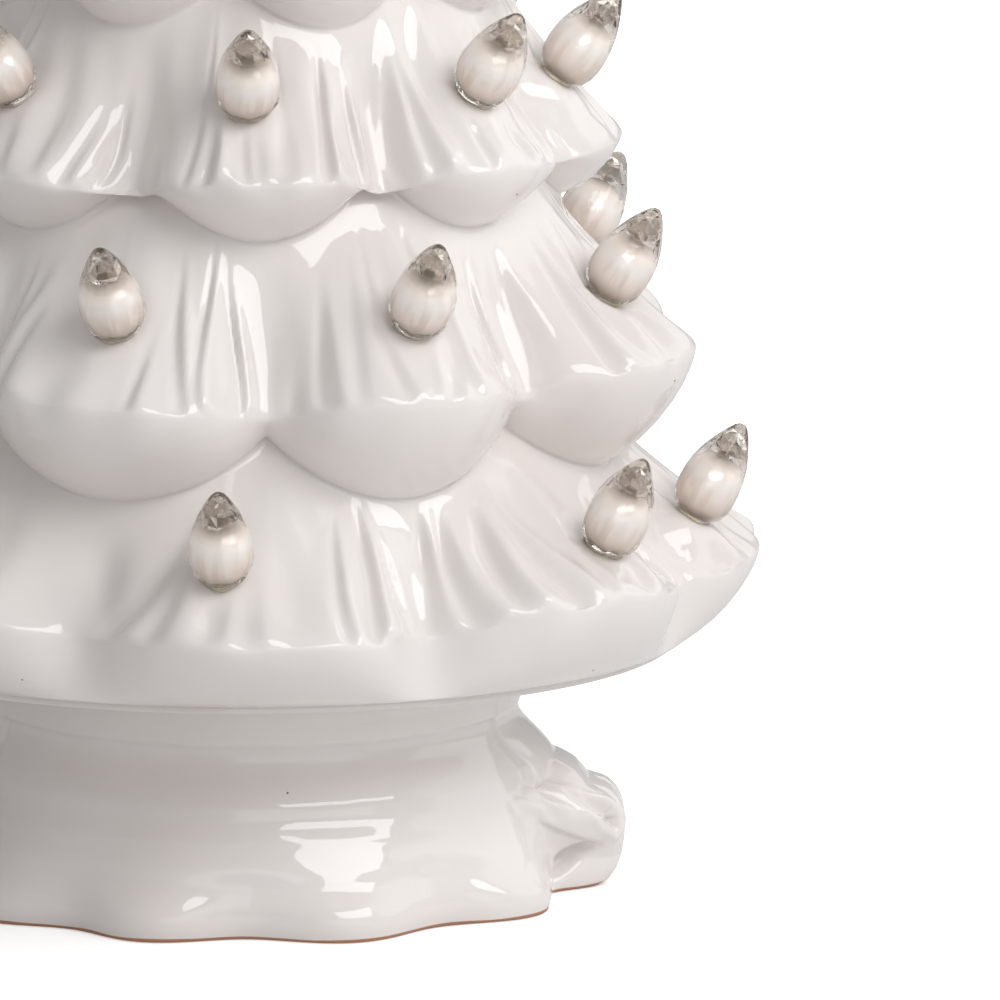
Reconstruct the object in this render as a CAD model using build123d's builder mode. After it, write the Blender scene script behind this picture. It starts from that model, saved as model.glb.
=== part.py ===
from build123d import *
import math
import os

os.makedirs("parts", exist_ok=True)

# Tree shell
base_height = 58
tree_height = 290
spread_radius = 115.5
rim_radius = 99
apex_radius = 9
wall = 5
bulb_hole_clearance = 0.15

# Branch tiers, from the rim up
lobe_counts = (8, 8, 8, 8, 7, 6, 4)
tier_turns = (2, 24.5, 2, 17.5, 8, 20, 40)
tip_radius_shares = (1, 0.875, 0.727, 0.605, 0.482, 0.36, 0.245)
tip_height_shares = (0.066, 0.229, 0.389, 0.56, 0.69, 0.805, 0.905)
neck_radius_share = 0.81
neck_height_shares = (0.636, 0.8, 0.75, 0.76, 0.76, 0.76)
valley_share = 0.8
valley_wall_share = 1.6
brow_radius_shares = (0, 0.56, 0.93, 1)
brow_drop_shares = (0, 0.69, 0.89, 1)
hem_radius_share = 0.14
hem_drop_share = 0.24

# Flame bulbs
bulb_length = 23.6
bulb_width = 14.6
bulb_sides = 8
bulb_stem_radius = 2.2
bulb_stem_length = 9
bulb_seat_gap = 1.05
bulb_lean_share = 0.6
bulb_radius_shares = (0.32, 0.8, 1, 0.88, 0.54, 0.2, 0.07)
bulb_height_shares = (0, 0.1, 0.3, 0.53, 0.77, 0.94, 1)
bulb_place_shares = (0.6, 0.565, 0.55, 0.54, 0.53, 0.5, 0.42)
bulb_turn_shares = (
    (-0.24, -0.05, 0.08, -0.1, 0.04, 0.06, -0.105, 0.1),
    (0.15, -0.06, 0.05, 0.09, -0.04, 0.036, 0.03, -0.036),
    (-0.24, -0.03, 0.07, -0.08, 0.02, -0.07, -0.03, -0.03),
    (0.04, -0.05, 0.06, 0, -0.07, 0.03, 0.05, -0.02),
    (0, 0.05, -0.06, 0.03, 0.07, -0.04, 0.02),
    (0.04, -0.03, 0.06, -0.05, 0.02, 0),
    (0, 0.04, -0.03, 0.05),
)

# Star on the apex
star_points = 5
star_radius = 15
star_notch_share = 0.45
star_half_thickness = 5
star_face_share = 0.12
star_peg_radius = 2.6
star_peg_length = 12
star_collar_radius = 5
star_collar_height = 4
star_collar_taper = 15
star_peg_clearance = 0.15

# Ceramic base
foot_radius = 75.5
foot_wave = 3.2
foot_waves = 10
foot_turn = 1
skirt_height = 39
waist_radius = 59
ribbon_thickness = 1.4
flange_radius = 96
flange_thickness = 2
deck_thickness = 5
deck_hole_radius = 32
ring_height = 5
ring_width = 4
ring_setback = 6.5
cavity_radius = 62
cavity_top_radius = 52
skirt_height_shares = (0, 0.08, 0.19, 0.34, 0.52, 0.67, 0.79, 0.9, 1)
skirt_flare_shares = (0.95, 1, 0.94, 0.76, 0.56, 0.38, 0.16, 0.04, 0)
skirt_wave_shares = (1, 1, 0.85, 0.55, 0.25, 0.1, 0, 0, 0)

# Ribbon and moulded bow, on the two sides of the base
bow_turns = (0, 180)
ribbon_height_shares = (1, 0.79, 0.6)
ribbon_reaches = (24, 19, 13)
ribbon_depth = 6
knot_radius = 66
knot_height = 19.5
knot_turn = -1
knot_size = 6
mouth_radius = 79.5
mouth_height = 16
mouth_turn = -9
mouth_length = 9
mouth_width = 8
mouth_lip = 2
mouth_depth_share = 0.45
loop_radius = 68.5
loop_height = 21.5
loop_turn = 2.5
loop_size = 8
tail_radius = 75
tail_height = 8
tail_turn = -2
tail_size = 7.5

# Bottom cover with the battery bay
cover_thickness = 3
cover_recess = 3
cover_clearance = 0.5
cover_step = 4
bay_wall = 2
bay_side_clearance = 0.5
bay_headroom = 1.5
post_radius = 3.5
post_height = 22
post_circle_radius = 17
post_count = 3
post_turn = 30

# Battery door and its pins
door_clearance = 0.3
door_pin_radius = 1
door_pin_length = 2.5
door_pin_clearance = 0.05
door_grip_radius = 4
door_grip_depth = 1

# Cells and contacts
cell_radius = 7.2
cell_length = 50.5
cell_nub_radius = 2.7
cell_nub_length = 1.2
cell_count = 3
cell_names = ("battery_left", "battery_middle", "battery_right")
contact_thickness = 0.5
contact_width = 8
contact_reach = 4

# Slide switch
switch_offset = 46
switch_length = 16
switch_width = 8
switch_height = 7
slider_knob_length = 3.6
slider_knob_width = 3.4
slider_shoe_length = 5.6
slider_shoe_height = 2
slider_travel = 4
slider_clearance = 0.3
slider_stand = 0.8

# Lamp board
board_radius = 24
board_thickness = 1.6
lamp_count = 6
lamp_circle_radius = 11
lamp_radius = 2.5
lamp_height = 6
screw_radius = 1.5
screw_clearance = 0.1
screw_head_radius = 2.8
screw_head_height = 1.6
screw_length = 8
lead_radius = 0.8
lead_bend = 6
lead_spread = 12

cut_overrun = 1

# Places that several pieces share
tree_top = base_height + tree_height
wall_inset = wall * math.sqrt(2)
tier_count = len(lobe_counts)
tip_radii = [spread_radius * share for share in tip_radius_shares]
tip_heights = [base_height + tree_height * share for share in tip_height_shares]
cover_low = cover_recess
cover_top = cover_recess + cover_thickness
cover_radius = cavity_radius + cover_step - cover_clearance
bay_width = cell_count * (2 * cell_radius + bay_side_clearance) + bay_side_clearance
bay_length = cell_length + contact_reach + contact_thickness
bay_height = 2 * cell_radius + bay_headroom
bay_roof = cover_top + bay_height + bay_wall
board_low = bay_roof + post_height
board_top = board_low + board_thickness
deck_low = base_height - deck_thickness


def around(radius, turn, height=0):
    return Vector(radius, 0, height).rotate(Axis.Z, turn)


def necks():
    """Radius and height of the creases between tiers, from the rim to the apex."""
    creases = [(rim_radius, base_height)]
    for lower, height_share in enumerate(neck_height_shares):
        rise = tip_heights[lower + 1] - tip_heights[lower]
        creases.append((tip_radii[lower + 1] * neck_radius_share, tip_heights[lower] + rise * height_share))
    creases.append((apex_radius, tree_top))
    return creases


def lobed_section(height, tip, valley, lobes, turn):
    """One closed outline of equal arcs, one to a lobe, that meet in the valleys."""
    pitch = 360 / lobes
    with BuildSketch(Plane.XY.offset(height)) as section:
        with BuildLine():
            for lobe in range(lobes):
                middle = turn + lobe * pitch
                ThreePointArc(
                    around(valley, middle - pitch / 2),
                    around(tip, middle),
                    around(valley, middle + pitch / 2),
                )
        make_face()
    return section.sketch


def tier_sections(tier, inset, valley_inset, rim_inset):
    """A branch tier, from its upper crease over the brow to its lower crease."""
    lobes = lobe_counts[tier]
    turn = tier_turns[tier]
    crease = necks()
    low_radius, low_height = crease[tier]
    top_radius, top_height = crease[tier + 1]
    tip_radius, tip_height = tip_radii[tier], tip_heights[tier]
    valley_radius = tip_radius * valley_share
    low_inset = rim_inset if tier == 0 else inset
    sections = []
    for out_share, drop_share in zip(brow_radius_shares, brow_drop_shares):
        tip = top_radius + (tip_radius - top_radius) * out_share - inset
        valley = top_radius + (valley_radius - top_radius) * out_share
        valley -= inset + (valley_inset - inset) * out_share
        height = top_height + (tip_height - top_height) * drop_share
        sections.append(lobed_section(height, tip, valley, lobes, turn))
    hem_tip = tip_radius + (low_radius - tip_radius) * hem_radius_share - inset
    hem_valley = valley_radius + (low_radius - valley_radius) * hem_radius_share - valley_inset
    hem_height = tip_height + (low_height - tip_height) * hem_drop_share
    sections.append(lobed_section(hem_height, hem_tip, hem_valley, lobes, turn))
    sections.append(lobed_section(low_height, low_radius - low_inset, low_radius - low_inset, lobes, turn))
    return sections


# Outer form of the tree, tier on tier
with BuildPart() as tree_form:
    for tier in range(tier_count):
        loft(tier_sections(tier, 0, 0, 0), ruled=True)


def bulb_planes(tier):
    """Seats of a tier's bulbs: where each bulb's axis meets the glazed branch."""
    crease_radius, crease_height = necks()[tier + 1]
    pitch = 360 / lobe_counts[tier]
    place_share = bulb_place_shares[tier]
    radius = crease_radius + (tip_radii[tier] - crease_radius) * place_share
    height = crease_height + (tip_heights[tier] - crease_height) * place_share
    brow_run = (tip_radii[tier] - crease_radius) * brow_radius_shares[1]
    brow_drop = (crease_height - tip_heights[tier]) * brow_drop_shares[1]
    lean = math.atan2(brow_drop, brow_run) * bulb_lean_share
    planes = []
    for lobe, turn_share in enumerate(bulb_turn_shares[tier]):
        turn = tier_turns[tier] + (lobe + turn_share) * pitch
        out = around(math.sin(lean), turn, math.cos(lean))
        start = around(radius, turn, height) + out * bulb_length
        hits = tree_form.part.solid().find_intersection_points(Axis(start, -out))
        seat = min((point for point, _ in hits), key=lambda point: (point - start).length)
        planes.append(Plane(origin=seat + out * bulb_seat_gap, x_dir=around(1, turn + 90), z_dir=out))
    return planes


bulb_seats = [bulb_planes(tier) for tier in range(tier_count)]

# Hollow tree shell with its bulb holes and the star's hole
with BuildPart() as tree_shell:
    add(tree_form.part)
    for tier in range(tier_count - 1):
        loft(
            tier_sections(tier, wall_inset, wall_inset * valley_wall_share, wall),
            ruled=True,
            mode=Mode.SUBTRACT,
        )
    with Locations((0, 0, tree_top)):
        star_reach = tree_top - necks()[tier_count - 1][1] + cut_overrun
        Hole(star_peg_radius + star_peg_clearance, depth=star_reach)
    for seat in sum(bulb_seats, []):
        with BuildSketch(seat):
            Circle(bulb_stem_radius + bulb_hole_clearance)
    extrude(amount=-bulb_length, mode=Mode.SUBTRACT)
tree_shell.part.label = "tree_shell"
export_step(tree_shell.part, "parts/tree_shell.step")

# Faceted flame bulb on its stem
with BuildPart() as bulb:
    for radius_share, height_share in zip(bulb_radius_shares, bulb_height_shares):
        with BuildSketch(Plane.XY.offset(bulb_length * height_share)):
            RegularPolygon(bulb_width / 2 * radius_share, bulb_sides)
    loft(ruled=True)
    with BuildSketch():
        RegularPolygon(bulb_stem_radius, bulb_sides)
    extrude(amount=-bulb_stem_length)

for tier, seats in enumerate(bulb_seats):
    with BuildPart() as tier_bulbs:
        with Locations(*[Location(seat) for seat in seats]):
            add(bulb.part)
    tier_bulbs.part.label = f"bulbs_tier_{tier + 1}"
    export_step(tier_bulbs.part, f"parts/bulbs_tier_{tier + 1}.step")

# Clear star with its peg in the apex
star_middle = tree_top + star_collar_height + star_radius * math.cos(math.pi / star_points)


def star_section(offset, scale_share):
    points = []
    for corner in range(2 * star_points):
        reach = star_radius * scale_share * (star_notch_share if corner % 2 else 1)
        angle = math.pi / 2 + corner * math.pi / star_points
        points.append((reach * math.cos(angle), star_middle + reach * math.sin(angle)))
    with BuildSketch(Plane.XZ.offset(offset)) as section:
        with BuildLine():
            Polyline(*points, close=True)
        make_face()
    return section.sketch


with BuildPart() as star_topper:
    for side in (-1, 1):
        loft([star_section(0, 1), star_section(side * star_half_thickness, star_face_share)], ruled=True)
    with BuildSketch(Plane.XY.offset(tree_top)):
        Circle(star_collar_radius)
    extrude(amount=star_middle - tree_top - star_radius * star_notch_share, taper=star_collar_taper)
    with BuildSketch(Plane.XY.offset(tree_top)):
        Circle(star_peg_radius)
    extrude(amount=-star_peg_length)
star_topper.part.label = "star_topper"
export_step(star_topper.part, "parts/star_topper.step")


def skirt_radius(height_share):
    """Mean radius of the skirt at a share of its height."""
    for low, high in zip(range(len(skirt_height_shares) - 1), range(1, len(skirt_height_shares))):
        if height_share <= skirt_height_shares[high]:
            span = skirt_height_shares[high] - skirt_height_shares[low]
            along = (height_share - skirt_height_shares[low]) / span
            flare = skirt_flare_shares[low] + (skirt_flare_shares[high] - skirt_flare_shares[low]) * along
            return waist_radius + (foot_radius - waist_radius) * flare


def ribbon_section(height_share, reach, turn):
    """Arc-shaped slice of the ribbon that runs down the skirt to the knot."""
    outer = skirt_radius(height_share) + ribbon_thickness
    inner = outer - ribbon_depth
    with BuildSketch(Plane.XY.offset(skirt_height * height_share)) as section:
        with BuildLine():
            ThreePointArc(around(outer, turn - reach), around(outer, turn), around(outer, turn + reach))
            Line(around(outer, turn + reach), around(inner, turn + reach))
            ThreePointArc(around(inner, turn + reach), around(inner, turn), around(inner, turn - reach))
            Line(around(inner, turn - reach), around(outer, turn - reach))
        make_face()
    return section.sketch


def trumpet_section(knot, mouth, along, length, width):
    """Oval across the bow's open loop, at a share of the way from knot to mouth."""
    middle = knot + (mouth - knot) * along
    with BuildSketch(Plane(origin=middle, x_dir=Vector(0, 0, 1), z_dir=mouth - knot)) as section:
        Ellipse(length, width)
    return section.sketch


# Ceramic base: flared skirt, ribbon collar, spool flange, ribbons and bows
with BuildPart() as base_skirt:
    skirt_sections = []
    for height_share, wave_share in zip(skirt_height_shares, skirt_wave_shares):
        crest = skirt_radius(height_share) + foot_wave * wave_share
        hollow = skirt_radius(height_share) - foot_wave * wave_share
        skirt_sections.append(
            lobed_section(skirt_height * height_share, crest, hollow, foot_waves, foot_turn)
        )
    loft(skirt_sections, ruled=True)
    collar_radius = waist_radius + ribbon_thickness
    flange_low = base_height - flange_thickness
    with BuildSketch(Plane.XZ):
        with BuildLine():
            Polyline((0, skirt_height), (collar_radius, skirt_height))
            Bezier((collar_radius, skirt_height), (waist_radius, flange_low), (flange_radius, flange_low))
            Polyline(
                (flange_radius, flange_low),
                (flange_radius, base_height),
                (0, base_height),
                (0, skirt_height),
            )
        make_face()
    revolve(axis=Axis.Z)
    for turn in bow_turns:
        slices = zip(ribbon_height_shares, ribbon_reaches)
        loft([ribbon_section(height_share, reach, turn) for height_share, reach in slices], ruled=True)
        knot = around(knot_radius, turn + knot_turn, knot_height)
        mouth = around(mouth_radius, turn + mouth_turn, mouth_height)
        loft([
            trumpet_section(knot, mouth, 0, knot_size, knot_size),
            trumpet_section(knot, mouth, 1, mouth_length, mouth_width),
        ])
        with Locations(around(loop_radius, turn + loop_turn, loop_height)):
            Sphere(loop_size)
        with Locations(around(tail_radius, turn + tail_turn, tail_height)):
            Sphere(tail_size)
        loft(
            [
                trumpet_section(knot, mouth, 1 - mouth_depth_share, mouth_lip, mouth_lip),
                trumpet_section(knot, mouth, 1, mouth_length - mouth_lip, mouth_width - mouth_lip),
            ],
            mode=Mode.SUBTRACT,
        )
    ring_radius = rim_radius - wall - ring_setback
    with BuildSketch(Plane.XY.offset(base_height)):
        Circle(ring_radius)
        Circle(ring_radius - ring_width, mode=Mode.SUBTRACT)
    extrude(amount=ring_height)
    with BuildSketch(Plane.XZ):
        with BuildLine():
            Polyline(
                (0, 0),
                (cavity_radius + cover_step, 0),
                (cavity_radius + cover_step, cover_top),
                (cavity_radius, cover_top),
                (cavity_top_radius, skirt_height),
                (cavity_top_radius, deck_low),
                (deck_hole_radius, deck_low),
                (deck_hole_radius, base_height),
                (0, base_height),
                close=True,
            )
        make_face()
    revolve(axis=Axis.Z, mode=Mode.SUBTRACT)
base_skirt.part.label = "base_skirt"
export_step(base_skirt.part, "parts/base_skirt.step")

# Bottom cover: closes the base, carries the battery bay and the lamp posts
hinge_line = -bay_length / 2 + door_clearance + cover_thickness / 2
hinge_height = cover_low + cover_thickness / 2
slot_middle = -switch_offset
with BuildPart() as bottom_cover:
    with BuildSketch(Plane.XY.offset(cover_low)):
        Circle(cover_radius)
    extrude(amount=cover_thickness)
    with BuildSketch(Plane.XY.offset(cover_top)):
        Rectangle(bay_width + 2 * bay_wall, bay_length + 2 * bay_wall)
    extrude(amount=bay_height + bay_wall)
    with BuildSketch(Plane.XY.offset(cover_low)):
        Rectangle(bay_width, bay_length)
    extrude(amount=cover_thickness + bay_height, mode=Mode.SUBTRACT)
    with BuildSketch(Plane.XY.offset(bay_roof)):
        with PolarLocations(post_circle_radius, post_count, start_angle=post_turn):
            Circle(post_radius)
    extrude(amount=post_height)
    with BuildSketch(Plane.XY.offset(board_low)):
        with PolarLocations(post_circle_radius, post_count, start_angle=post_turn):
            Circle(screw_radius + screw_clearance)
    extrude(amount=-screw_length, mode=Mode.SUBTRACT)
    with BuildSketch(Plane.XY.offset(cover_low)):
        with Locations((0, slot_middle)):
            slot_length = slider_knob_length + slider_travel + 2 * slider_clearance
            Rectangle(slot_length, slider_knob_width + 2 * slider_clearance)
    extrude(amount=cover_thickness, mode=Mode.SUBTRACT)
    with BuildSketch(Plane.YZ.offset(-bay_width / 2 - door_pin_length - door_clearance)):
        with Locations((hinge_line, hinge_height)):
            Circle(door_pin_radius + door_pin_clearance)
    extrude(amount=bay_width + 2 * (door_pin_length + door_clearance), mode=Mode.SUBTRACT)
bottom_cover.part.label = "bottom_cover"
export_step(bottom_cover.part, "parts/bottom_cover.step")

# Battery door with its round hinge edge, pins and finger grip
door_width = bay_width - 2 * door_clearance
door_far = bay_length / 2 - door_clearance
with BuildPart() as battery_door:
    with BuildSketch(Plane.XY.offset(cover_low)):
        with Locations((0, (hinge_line + door_far) / 2)):
            Rectangle(door_width, door_far - hinge_line)
    extrude(amount=cover_thickness)
    with BuildSketch(Plane.YZ.offset(-door_width / 2)):
        with Locations((hinge_line, hinge_height)):
            Circle(cover_thickness / 2)
    extrude(amount=door_width)
    with BuildSketch(Plane.YZ.offset(-bay_width / 2 - door_pin_length)):
        with Locations((hinge_line, hinge_height)):
            Circle(door_pin_radius)
    extrude(amount=bay_width + 2 * door_pin_length)
    with BuildSketch(Plane.XY.offset(cover_low)):
        with Locations((0, door_far)):
            Circle(door_grip_radius)
    extrude(amount=door_grip_depth, mode=Mode.SUBTRACT)
battery_door.part.label = "battery_door"
export_step(battery_door.part, "parts/battery_door.step")

# Three cells side by side, turned end for end in the bay
cell_height = cover_top + cell_radius + bay_headroom / 2
cell_low = -bay_length / 2 + contact_thickness
cell_pitch = 2 * cell_radius + bay_side_clearance
for place, cell_name in enumerate(cell_names):
    nub_first = place % 2
    with BuildPart() as cell:
        can_low = cell_low + cell_nub_length * nub_first
        across = (place - (cell_count - 1) / 2) * cell_pitch
        with BuildSketch(Plane.XZ.offset(-can_low)):
            with Locations((across, cell_height)):
                Circle(cell_radius)
        extrude(amount=-(cell_length - cell_nub_length))
        nub_low = cell_low if nub_first else cell_low + cell_length - cell_nub_length
        with BuildSketch(Plane.XZ.offset(-nub_low)):
            with Locations((across, cell_height)):
                Circle(cell_nub_radius)
        extrude(amount=-cell_nub_length)
    cell.part.label = cell_name
    export_step(cell.part, f"parts/{cell_name}.step")

# Contact plates at one end of the bay, bent leaf springs at the other
with BuildPart() as contact_plates:
    with BuildSketch(Plane.XZ.offset(bay_length / 2)):
        with Locations((0, cell_height)):
            with GridLocations(cell_pitch, 0, cell_count, 1):
                Rectangle(contact_width, contact_width)
    extrude(amount=-contact_thickness)
contact_plates.part.label = "contact_plates"
export_step(contact_plates.part, "parts/contact_plates.step")

with BuildPart() as contact_springs:
    spring_wall = bay_length / 2
    spring_touch = spring_wall - contact_reach
    spring_low = cell_height - contact_width / 2
    spring_high = cell_height + contact_width / 2
    for place in range(cell_count):
        across = (place - (cell_count - 1) / 2) * cell_pitch
        with BuildSketch(Plane.YZ.offset(across - contact_width / 2)):
            with BuildLine():
                Polyline(
                    (spring_wall, spring_low),
                    (spring_wall, spring_high),
                    (spring_touch, cell_height),
                    (spring_touch + contact_thickness, cell_height - contact_thickness),
                    (spring_wall - contact_thickness, spring_high - 2 * contact_thickness),
                    (spring_wall - contact_thickness, spring_low),
                    close=True,
                )
            make_face()
        extrude(amount=contact_width)
contact_springs.part.label = "contact_springs"
export_step(contact_springs.part, "parts/contact_springs.step")

# Slide switch: body on the cover, knob through the slot
groove_length = slider_shoe_length + slider_travel + 2 * slider_clearance
with BuildPart() as switch_body:
    with BuildSketch(Plane.XY.offset(cover_top)):
        with Locations((0, slot_middle)):
            Rectangle(switch_length, switch_width)
    extrude(amount=switch_height)
    with BuildSketch(Plane.XY.offset(cover_top)):
        with Locations((0, slot_middle)):
            Rectangle(groove_length, slider_knob_width + 2 * slider_clearance)
    extrude(amount=slider_shoe_height + 2 * slider_clearance, mode=Mode.SUBTRACT)
switch_body.part.label = "switch_body"
export_step(switch_body.part, "parts/switch_body.step")

with BuildPart() as switch_slider:
    knob_place = -slider_travel / 2
    knob_low = cover_low - slider_stand
    shoe_low = cover_top + slider_clearance
    with BuildSketch(Plane.XY.offset(knob_low)):
        with Locations((knob_place, slot_middle)):
            Rectangle(slider_knob_length, slider_knob_width)
    extrude(amount=shoe_low - knob_low)
    with BuildSketch(Plane.XY.offset(shoe_low)):
        with Locations((knob_place, slot_middle)):
            Rectangle(slider_shoe_length, slider_knob_width)
    extrude(amount=slider_shoe_height)
switch_slider.part.label = "switch_slider"
export_step(switch_slider.part, "parts/switch_slider.step")

# Lamp board on the posts, its screws and its lamps
with BuildPart() as led_board:
    with BuildSketch(Plane.XY.offset(board_low)):
        Circle(board_radius)
        with PolarLocations(post_circle_radius, post_count, start_angle=post_turn):
            Circle(screw_radius + screw_clearance, mode=Mode.SUBTRACT)
    extrude(amount=board_thickness)
led_board.part.label = "led_board"
export_step(led_board.part, "parts/led_board.step")

with BuildPart() as board_screws:
    with BuildSketch(Plane.XY.offset(board_top)):
        with PolarLocations(post_circle_radius, post_count, start_angle=post_turn):
            Circle(screw_radius)
    extrude(amount=board_thickness / 2 - screw_length)
    with BuildSketch(Plane.XY.offset(board_top)):
        with PolarLocations(post_circle_radius, post_count, start_angle=post_turn):
            Circle(screw_head_radius)
    extrude(amount=screw_head_height)
board_screws.part.label = "board_screws"
export_step(board_screws.part, "parts/board_screws.step")

with BuildPart() as led_lamps:
    with BuildSketch(Plane.XY.offset(board_top)):
        with PolarLocations(lamp_circle_radius, lamp_count):
            Circle(lamp_radius)
    extrude(amount=lamp_height - lamp_radius)
    with PolarLocations(lamp_circle_radius, lamp_count):
        with Locations((0, 0, board_top + lamp_height - lamp_radius)):
            Sphere(lamp_radius)
led_lamps.part.label = "led_lamps"
export_step(led_lamps.part, "parts/led_lamps.step")

# Two leads to the underside of the board, from the bay's roof and from the switch
with BuildPart() as battery_lead:
    with BuildSketch(Plane.XY.offset(bay_roof)):
        with Locations((0, board_radius - lead_spread)):
            Circle(lead_radius)
    extrude(amount=post_height)
battery_lead.part.label = "battery_lead"
export_step(battery_lead.part, "parts/battery_lead.step")

with BuildPart() as switch_lead:
    lead_start = (lead_spread / 2, slot_middle, cover_top + switch_height)
    lead_turn_height = (cover_top + switch_height + board_low) / 2 + lead_bend / 2
    with BuildLine():
        FilletPolyline(
            lead_start,
            (lead_spread / 2, slot_middle, lead_turn_height),
            (lead_spread / 2, lead_spread - board_radius, lead_turn_height),
            (lead_spread / 2, lead_spread - board_radius, board_low),
            radius=lead_bend,
        )
    with BuildSketch(Plane(origin=lead_start)):
        Circle(lead_radius)
    sweep()
switch_lead.part.label = "switch_lead"
export_step(switch_lead.part, "parts/switch_lead.step")
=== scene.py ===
import math

import bpy
import numpy as np
from mathutils import Matrix, Vector


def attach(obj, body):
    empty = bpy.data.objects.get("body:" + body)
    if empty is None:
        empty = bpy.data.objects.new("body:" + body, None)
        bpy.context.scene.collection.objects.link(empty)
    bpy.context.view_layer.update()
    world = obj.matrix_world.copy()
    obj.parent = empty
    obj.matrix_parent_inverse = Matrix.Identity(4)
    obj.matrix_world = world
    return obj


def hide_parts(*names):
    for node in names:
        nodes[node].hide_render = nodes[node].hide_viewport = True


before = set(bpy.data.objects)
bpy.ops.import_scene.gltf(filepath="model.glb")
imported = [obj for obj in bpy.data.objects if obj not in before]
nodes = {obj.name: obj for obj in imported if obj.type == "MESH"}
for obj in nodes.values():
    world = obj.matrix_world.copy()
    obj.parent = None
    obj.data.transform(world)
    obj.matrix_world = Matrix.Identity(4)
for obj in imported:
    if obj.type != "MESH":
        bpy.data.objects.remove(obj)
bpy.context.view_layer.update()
bpy.context.scene.view_settings.view_transform = "Standard"


def clearSelection():
    bpy.ops.object.select_all(action="DESELECT")


def newPiece(name):
    piece = bpy.context.active_object
    piece.name = name
    piece.data.name = name
    return piece


def selectOnly(*pieces):
    clearSelection()
    for piece in pieces:
        piece.select_set(True)
    bpy.context.view_layer.objects.active = pieces[0]


def faceNormals(piece, inside):
    selectOnly(piece)
    bpy.ops.object.mode_set(mode="EDIT")
    bpy.ops.mesh.select_all(action="SELECT")
    bpy.ops.mesh.normals_make_consistent(inside=inside)
    bpy.ops.object.mode_set(mode="OBJECT")


def readPoints(piece):
    points = np.zeros(len(piece.data.vertices) * 3)
    piece.data.vertices.foreach_get("co", points)
    return points.reshape(-1, 3)


def writePoints(piece, points):
    piece.data.vertices.foreach_set("co", points.astype(np.float32).ravel())
    piece.data.update()


def turnOf(points):  # angle of each point around the axis
    return np.arctan2(points[:, 1], points[:, 0])


def smoothStep(low, high, value):
    share = np.clip((value - low) / (high - low), 0, 1)
    return share * share * (3 - 2 * share)


def bezier(first, second, third, fourth, share):
    rest = 1 - share
    return (rest ** 3 * first + 3 * rest ** 2 * share * second
            + 3 * rest * share ** 2 * third + share ** 3 * fourth)


def slowWave(angles, seed, turns, size):  # smooth wander around the axis, the same each run
    draw = np.random.RandomState(seed)
    wave = np.zeros_like(angles)
    for turn in turns:
        wave += draw.uniform(-1, 1) * np.sin(turn * angles + draw.uniform(0, 2 * np.pi))
    return wave * size / math.sqrt(len(turns))


def ringSheet(name, angles, radii, levels):
    # a flat grid rolled up: one way around the axis, the other way around the wall
    rowCount, columnCount = radii.shape
    clearSelection()
    bpy.ops.mesh.primitive_grid_add(x_subdivisions=columnCount, y_subdivisions=rowCount, size=1)
    piece = newPiece(name)
    spots = readPoints(piece)
    column = np.round((spots[:, 0] + 0.5) * columnCount).astype(int) % columnCount
    row = np.round((spots[:, 1] + 0.5) * rowCount).astype(int) % rowCount
    radius, turn = radii[row, column], angles[column]
    return piece, np.stack([radius * np.cos(turn), radius * np.sin(turn), levels[row, column]], axis=1)


def closeSeams(piece):
    selectOnly(piece)
    bpy.ops.object.mode_set(mode="EDIT")
    bpy.ops.mesh.select_all(action="SELECT")
    bpy.ops.mesh.remove_doubles(threshold=1e-7)
    bpy.ops.mesh.normals_make_consistent(inside=False)
    bpy.ops.object.mode_set(mode="OBJECT")


# materials

def newMaterial(name):
    material = bpy.data.materials.new(name)
    material.use_nodes = True
    tree = material.node_tree
    shader = tree.nodes["Principled BSDF"]
    place = tree.nodes.new("ShaderNodeTexCoord")
    return material, tree, shader, place.outputs["Object"]


def addNode(tree, kind, **values):
    node = tree.nodes.new(kind)
    for key, value in values.items():
        if key in node.inputs:
            node.inputs[key].default_value = value
        else:
            setattr(node, key, value)
    return node


def noise(tree, place, scale, detail=2.0, roughness=0.5):
    texture = addNode(tree, "ShaderNodeTexNoise", Scale=scale, Detail=detail, Roughness=roughness)
    tree.links.new(place, texture.inputs["Vector"])
    return texture.outputs["Fac"]


def ramp(tree, value, positions, colours):
    node = tree.nodes.new("ShaderNodeValToRGB")
    band = node.color_ramp
    while len(band.elements) < len(positions):
        band.elements.new(0.5)
    for element, position, colour in zip(band.elements, positions, colours):
        element.position = position
        element.color = (*colour, 1)
    tree.links.new(value, node.inputs["Fac"])
    return node.outputs["Color"]


def calculate(tree, operation, *values):  # each value is a socket or a number
    node = addNode(tree, "ShaderNodeMath", operation=operation)
    for socket, value in zip(node.inputs, values):
        if isinstance(value, (int, float)):
            socket.default_value = value
        else:
            tree.links.new(value, socket)
    return node.outputs[0]


def mapRange(tree, value, fromEnds, toEnds):
    node = addNode(tree, "ShaderNodeMapRange")
    node.inputs["From Min"].default_value, node.inputs["From Max"].default_value = fromEnds
    node.inputs["To Min"].default_value, node.inputs["To Max"].default_value = toEnds
    tree.links.new(value, node.inputs["Value"])
    return node.outputs[0]


def mixColour(tree, share, under, over):  # under is a socket, over a colour
    node = addNode(tree, "ShaderNodeMix", data_type="RGBA")
    tree.links.new(share, node.inputs["Factor"])
    tree.links.new(under, node.inputs[6])
    node.inputs[7].default_value = (*over, 1)
    return node.outputs[2]


def bump(tree, shader, height, strength, distance):
    node = addNode(tree, "ShaderNodeBump", Strength=strength, Distance=distance)
    tree.links.new(height, node.inputs["Height"])
    tree.links.new(node.outputs["Normal"], shader.inputs["Normal"])


def setSockets(shader, **values):
    names = {"roughness": "Roughness", "ior": "IOR", "specular": "Specular IOR Level",
             "clear": "Transmission Weight", "metal": "Metallic"}
    for key, value in values.items():
        shader.inputs[names[key]].default_value = value


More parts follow.
